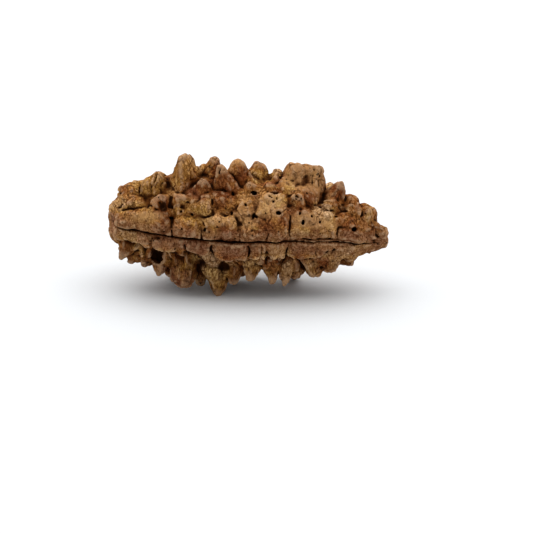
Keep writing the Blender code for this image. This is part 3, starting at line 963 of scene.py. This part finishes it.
def box_blur(values, radius):
    """Values averaged over a cube of that radius in grid steps."""
    for side in range(3):
        edges = np.zeros((3, 2), int)
        edges[side] = radius + 1, radius
        total = np.cumsum(np.pad(values, edges, mode="edge"), side, dtype=np.float32)
        count = values.shape[side]
        high = np.take(total, range(2 * radius + 1, 2 * radius + 1 + count), side)
        values = (high - np.take(total, range(count), side)) / (2 * radius + 1)
    return values


def sampled(field, values, points):
    """The grid's values at points, between its own points in a straight line."""
    place = (points - field.low) / STEP
    cell = np.clip(place.astype(int), 0, np.array(values.shape) - 2)
    share = place - cell
    result = 0
    for corner in np.ndindex(2, 2, 2):
        weight = np.prod(np.where(corner, share, 1 - share), axis=1)
        result = result + weight * values[tuple((cell + corner).T)]
    return result


def add_attribute(mesh, name, values):
    attribute = mesh.attributes.new(name, "FLOAT", "POINT")
    attribute.data.foreach_set("value", np.asarray(values, np.float32))


def cave_share(points):
    """How far down in a hollow each point lies: 0 on the skin round it and 1 on its floor."""
    share = np.zeros(len(points))
    for hollow in SIDE_HOLLOWS:
        centre, out = frame_at(hollow.x, hollow.angle, -hollow.depth)[:2]
        offset = points - centre
        away = np.linalg.norm(offset, axis=1) - hollow.radius
        near = np.clip((CAVE_REACH - away) / CAVE_FADE, 0, 1)
        down = np.clip(CAVE_RIM - offset @ out / hollow.radius, 0, 1)
        share = np.maximum(share, near * down)
    return share


def streak_places(x, y, z):
    """Points round the axis squeezed towards it, in metres, where noise runs in streaks."""
    radius, core = np.hypot(y, z), np.sqrt(profile(x)[0])
    squeezed = (core + STREAK_SQUEEZE * (radius - core)) / radius
    return np.stack((x, y * squeezed, z * squeezed), axis=1) * MM


def measure_skin(mesh, field):
    """Stores on the mesh how sunken each place is, where it lies on the bead, and its streaks."""
    points = np.empty(len(mesh.vertices) * 3, np.float32)
    mesh.vertices.foreach_get("co", points)
    points = points.reshape(-1, 3) / MM - (0, AXIS_SIDE, AXIS_HEIGHT)
    solid = np.clip(0.5 - field.distance / STEP, 0, 1).astype(np.float32)
    add_attribute(mesh, "crevice", sampled(field, box_blur(solid, NEAR_BLUR), points))
    add_attribute(mesh, "hollow", sampled(field, box_blur(solid, WIDE_BLUR), points))
    add_attribute(mesh, "cave", cave_share(points))
    x, y, z = points.T
    z = z + axis_drop(x)
    radius, angle = np.hypot(y, z), np.degrees(np.arctan2(z, -y))
    turns = [(angle - seam_angle(seam, x) + 180) % 360 - 180 for seam in range(len(SEAM_ANGLES))]
    add_attribute(mesh, "place", x)
    add_attribute(mesh, "angle", (angle + 90) % 360)
    add_attribute(mesh, "from_below", (angle + 270) % 360 - 180)
    add_attribute(mesh, "seam", radius * np.radians(np.abs(turns).min(axis=0)))
    streaks = mesh.attributes.new("streak", "FLOAT_VECTOR", "POINT")
    streaks.data.foreach_set("vector", streak_places(x, y, z).astype(np.float32).ravel())


def node(tree, kind, inputs=None, **settings):
    """A new node with its settings, and its inputs by name or number, each a value or a socket."""
    made = tree.nodes.new(kind)
    for name, value in settings.items():
        setattr(made, name, value)
    for name, value in (inputs or {}).items():
        if isinstance(value, bpy.types.NodeSocket):
            tree.links.new(value, made.inputs[name])
        else:
            made.inputs[name].default_value = value
    return made


def ramp(tree, value, stops):
    """A colour ramp through (place, colour) stops."""
    made = node(tree, "ShaderNodeValToRGB", {"Fac": value})
    elements = made.color_ramp.elements
    while len(elements) < len(stops):
        elements.new(0.5)
    for element, (place, colour) in zip(elements, stops):
        element.position = place
        element.color = colour
    return made.outputs["Color"]


def attribute(tree, name):
    return node(tree, "ShaderNodeAttribute", attribute_name=name).outputs["Fac"]


def noise(tree, vector, length, detail=2, roughness=0.5):
    """Noise that changes over that length in millimetres, from 0 to 1."""
    inputs = {"Vector": vector, "Scale": 1 / (length * MM), "Detail": detail, "Roughness": roughness}
    return node(tree, "ShaderNodeTexNoise", inputs).outputs["Fac"]


def between(tree, value, low, high):
    """The value spread smoothly from 0 at low to 1 at high, and held there beyond them."""
    inputs = {"Value": value, "From Min": low, "From Max": high}
    made = node(tree, "ShaderNodeMapRange", inputs, interpolation_type="SMOOTHSTEP")
    return made.outputs["Result"]


def calculate(tree, operation, *values):
    inputs = dict(enumerate(values))
    return node(tree, "ShaderNodeMath", inputs, operation=operation).outputs["Value"]


def blended(tree, share, under, over, kind="MIX"):
    """One colour laid over another by a share, in that blend mode."""
    inputs = {0: share, 6: under, 7: over}
    return node(tree, "ShaderNodeMix", inputs, data_type="RGBA", blend_type=kind).outputs[2]


def laid(tree, colour, over, share, cover, kind="MIX"):
    """A colour with another laid over it by a share of how much it may cover, in that blend mode."""
    return blended(tree, calculate(tree, "MULTIPLY", share, cover), colour, over, kind)


def patch(tree, x, angle, long, wide):
    """1 at a place on the bead, falling to 0 that far from it along and round."""
    squares = []
    for name, middle, reach in (("place", x, long), ("angle", angle + 90, wide)):
        away = calculate(tree, "SUBTRACT", attribute(tree, name), middle)
        away = calculate(tree, "DIVIDE", away, reach)
        squares.append(calculate(tree, "MULTIPLY", away, away))
    return between(tree, calculate(tree, "ADD", *squares), 1.0, 0.0)


def stone_colour(tree, place, streak, lips):
    """Tan and rust-brown by turns, with ochre, mauve and pale places and fine streaks over them, and
    painted shade on the underside.
    """
    colour = ramp(tree, noise(tree, place, TURN_LENGTH), TURNS)
    colour = blended(tree, COVER["patches"], colour, tints(tree, place), "MULTIPLY")
    ochre = calculate(tree, "MAXIMUM", *[patch(tree, *there) for there in OCHRE_PLACES])
    colour = laid(tree, colour, OCHRE, ochre, COVER["ochre"])
    colour = laid(tree, colour, RUST, patch(tree, *KEEL_PLACE), COVER["keel"])
    colour = laid(tree, colour, MAUVE, lips, COVER["lips"])
    furrows = between(tree, noise(tree, streak, FURROW_LENGTH, 3), *FURROWS)
    colour = laid(tree, colour, DARK_RUST, furrows, COVER["furrows"])
    flecks = ramp(tree, noise(tree, streak, *FLECKS), FLECK_TINTS)
    colour = blended(tree, COVER["flecks"], colour, flecks, "MULTIPLY")
    # Painted shade: the underside is darkened by how far it faces down.
    from_below = calculate(tree, "ABSOLUTE", attribute(tree, "from_below"))
    under = between(tree, from_below, *UNDERNEATH)
    colour = laid(tree, colour, UNDERSIDE_SHADE_TINT, under, COVER["under"], "MULTIPLY")
    for there in PALE_PLACES:
        colour = laid(tree, colour, PALE_TAN, patch(tree, *there), COVER["pale"])
    return colour


def worn_and_shaded(tree, colour):
    """The colour worn pale on edges and tips, with a painted highlight there too, and painted shade: umber
    in the valleys and nearly black in the caves.
    """
    close, wide, cave = [attribute(tree, name) for name in ("crevice", "hollow", "cave")]
    tips = calculate(tree, "MULTIPLY", between(tree, wide, *TIPS), COVER["tips"])
    wear_and_highlight = calculate(tree, "MAXIMUM", between(tree, close, *EDGES), tips)
    colour = laid(tree, colour, PALE_WEAR_AND_HIGHLIGHT, wear_and_highlight, COVER["wear_and_highlight"])
    valley_shade = calculate(tree, "MAXIMUM", between(tree, wide, *VALLEYS), cave)
    colour = laid(tree, colour, SHADE_UMBER, valley_shade, COVER["valley_shade"])
    deep_shade = between(tree, wide, *DEEP_VALLEYS)
    deep_shade = calculate(tree, "MAXIMUM", deep_shade, between(tree, cave, *DEEP_CAVES))
    return blended(tree, deep_shade, colour, SHADE_BLACK)


def cracked_and_shaded(tree, place, colour, lips):
    """The colour with nets of hair cracks, fainter beside the seams, and painted shade: black in the
    crevices.
    """
    for cell, width, strength in HAIR_CRACKS:
        tint, share = hair_cracks(tree, place, cell, width)
        fading = calculate(tree, "MULTIPLY_ADD", lips, -HAIR_FADE * strength, strength)
        share = calculate(tree, "MULTIPLY", share, fading)
        colour = blended(tree, share, colour, tint, "MULTIPLY")
    crevice_shade = between(tree, attribute(tree, "crevice"), *CREVICES)
    return blended(tree, crevice_shade, colour, SHADE_BLACK)


def stone_material():
    """Dry fruit stone: a dull skin with fine grain, pits and cracks."""
    material = bpy.data.materials.new("stone")
    material.use_nodes = True
    tree = material.node_tree
    shader = tree.nodes["Principled BSDF"]
    place = node(tree, "ShaderNodeTexCoord").outputs["Object"]
    streak = node(tree, "ShaderNodeAttribute", attribute_name="streak").outputs["Vector"]
    lips = between(tree, attribute(tree, "seam"), *LIPS)
    colour = worn_and_shaded(tree, stone_colour(tree, place, streak, lips))
    pits = fine_pits(tree, place)
    # Painted shade: near black in the tiny pits, which the bump only dents.
    colour = laid(tree, colour, SHADE_BLACK, pits, COVER["pits"])
    colour = cracked_and_shaded(tree, place, colour, lips)
    tree.links.new(colour, shader.inputs["Base Color"])
    shader.inputs["Roughness"].default_value = SKIN_ROUGHNESS
    shader.inputs["Specular IOR Level"].default_value = SKIN_SHEEN
    sunken = calculate(tree, "MULTIPLY", pits, PIT_RELIEF)
    relief = calculate(tree, "SUBTRACT", noise(tree, streak, *GRAIN), sunken)
    inputs = {"Height": relief, "Strength": GRAIN_STRENGTH, "Distance": GRAIN_RELIEF * MM}
    bump = node(tree, "ShaderNodeBump", inputs)
    tree.links.new(bump.outputs["Normal"], shader.inputs["Normal"])
    return material


def warped(tree, place, length, reach):
    """Places pushed about by noise, each by up to about half that reach in millimetres."""
    inputs = {"Vector": place, "Scale": 1 / (length * MM), "Detail": 2}
    push = node(tree, "ShaderNodeTexNoise", inputs).outputs["Color"]
    push = node(tree, "ShaderNodeVectorMath", {0: push, 1: (0.5, 0.5, 0.5)}, operation="SUBTRACT")
    scale = {0: push.outputs[0], 1: (reach * MM,) * 3, 2: place}
    return node(tree, "ShaderNodeVectorMath", scale, operation="MULTIPLY_ADD").outputs[0]


def tints(tree, place):
    """A tint for each patch of a few millimetres, to multiply a colour by."""
    inputs = {"Vector": warped(tree, place, *PATCH_WARP), "Scale": 1 / (PATCH_SIZE * MM)}
    cells = node(tree, "ShaderNodeTexVoronoi", inputs).outputs["Color"]
    pick = node(tree, "ShaderNodeSeparateColor", {"Color": cells}).outputs["Red"]
    return ramp(tree, pick, PATCH_TINTS)


def hair_cracks(tree, place, cell, width):
    """A tint for a net of hair cracks, dark with worn edges, to multiply a colour by, and its share."""
    inputs = {"Vector": warped(tree, place, cell / 2, cell * 0.8), "Scale": 1 / (cell * MM)}
    edge = node(tree, "ShaderNodeTexVoronoi", inputs, feature="DISTANCE_TO_EDGE").outputs["Distance"]
    away = calculate(tree, "DIVIDE", edge, 8 * width / cell)
    tint = ramp(tree, away, CRACK_TINTS)
    return tint, between(tree, noise(tree, place, cell), *HAIR_LEVELS)


def fine_pits(tree, place):
    """1 in tiny pits, thick in a few groups and sparse elsewhere, else 0."""
    inputs = {"Vector": warped(tree, place, *PIT_WARP), "Scale": 1 / (PIT_CELL * MM)}
    cells = node(tree, "ShaderNodeTexVoronoi", inputs)
    pick = node(tree, "ShaderNodeSeparateColor", {"Color": cells.outputs["Color"]}).outputs["Green"]
    chance = PIT_CHANCE
    for there in PIT_GROUPS:
        chance = calculate(tree, "MAXIMUM", patch(tree, *there), chance)
    dot = between(tree, cells.outputs["Distance"], *PIT_EDGE)
    return calculate(tree, "MULTIPLY", dot, calculate(tree, "LESS_THAN", pick, chance))


def make_bead():
    field = bead_field()
    mesh = simplified(skin_of(field), TRIANGLES)
    cut_flat(mesh)
    measure_skin(mesh, field)
    mesh.materials.clear()
    mesh.materials.append(stone_material())
    mesh.shade_smooth()
    bead = bpy.data.objects.new("bead_skin", mesh)
    bpy.context.scene.collection.objects.link(bead)
    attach(bead, "root")
    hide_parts(NAME)


def make_floor():
    mesh = bpy.data.meshes.new("floor")
    corners = [(x * FLOOR_HALF, y * FLOOR_HALF, 0) for x, y in ((-1, -1), (1, -1), (1, 1), (-1, 1))]
    mesh.from_pydata(corners, [], [(0, 1, 2, 3)])
    material = bpy.data.materials.new("floor")
    material.use_nodes = True
    shader = material.node_tree.nodes["Principled BSDF"]
    shader.inputs["Base Color"].default_value = FLOOR_GREY
    shader.inputs["Roughness"].default_value = 0.9
    shader.inputs["Specular IOR Level"].default_value = 0.1
    mesh.materials.append(material)
    floor = bpy.data.objects.new("floor", mesh)
    bpy.context.scene.collection.objects.link(floor)
    floor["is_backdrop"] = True


def make_lights():
    scene = bpy.context.scene
    world = bpy.data.worlds.new("studio")
    world.use_nodes = True
    background = world.node_tree.nodes["Background"]
    background.inputs["Color"].default_value = (1, 1, 1, 1)
    background.inputs["Strength"].default_value = SKY
    scene.world = world
    for light in LIGHTS:
        lamp = bpy.data.lights.new("panel", "AREA")
        lamp.shape = "RECTANGLE"
        lamp.size, lamp.size_y, lamp.energy = light.length, light.width, light.power
        panel = bpy.data.objects.new("panel", lamp)
        panel.location = (light.x, light.y, light.z)
        panel.rotation_euler = (0, radians(light.lean), 0)
        scene.collection.objects.link(panel)
    scene.view_settings.view_transform = "Standard"


def make_camera():
    rise, turn = radians(CAMERA_RISE), radians(CAMERA_TURN)
    back = Vector((sin(turn) * cos(rise), -cos(turn) * cos(rise), sin(rise)))
    right = Vector((cos(turn), sin(turn), 0))
    up = back.cross(right)
    target = Vector((0, AXIS_SIDE, AXIS_HEIGHT)) + right * FRAME_SHIFT[0] + up * FRAME_SHIFT[1]
    place = (target + back * CAMERA_DISTANCE) * MM
    camera = bpy.data.cameras.new("camera")
    camera.lens = camera.sensor_width * CAMERA_DISTANCE / FRAME_WIDTH
    camera.clip_start = 0.01
    obj = bpy.data.objects.new("camera", camera)
    obj.matrix_world = Matrix.Translation(place) @ Matrix((right, up, back)).transposed().to_4x4()
    bpy.context.scene.collection.objects.link(obj)
    bpy.context.scene.camera = obj


make_bead()
make_floor()
make_lights()
make_camera()
SIZES = {"cad_box": CAD_BOX, "visual_box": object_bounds()}
{name: [list(corner) for corner in box] for name, box in SIZES.items()}
